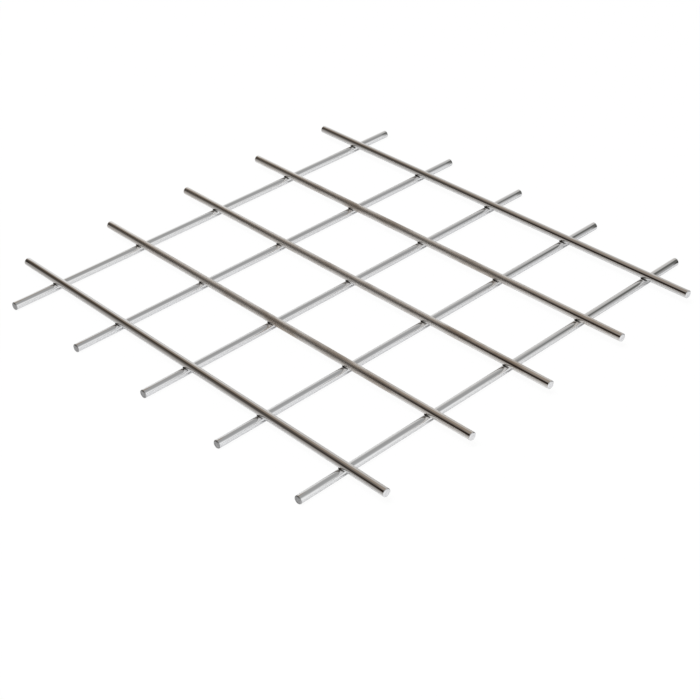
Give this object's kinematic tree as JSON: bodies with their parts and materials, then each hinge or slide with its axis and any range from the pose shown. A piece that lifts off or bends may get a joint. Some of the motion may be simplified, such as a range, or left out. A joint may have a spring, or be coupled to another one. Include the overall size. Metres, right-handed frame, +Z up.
{
  "type": "welded round-bar steel grating",
  "caption": "Flat square panel of round steel bars welded across each other in two layers, leaving square openings, with the bar ends free all round.",
  "frame": {"origin": "on the floor, under the middle of the panel", "axes": "+X along the upper layer of bars, +Y along the lower layer, +Z up through the panel's thickness"},
  "size_m": [0.25, 0.25, 0.0075],
  "materials": {
    "bright_steel": "bright drawn round bar, polished along its length, with square-cut ends"
  },
  "bodies": {
    "root": {"grating_panel": "bright_steel"}
  },
  "joints": []
}
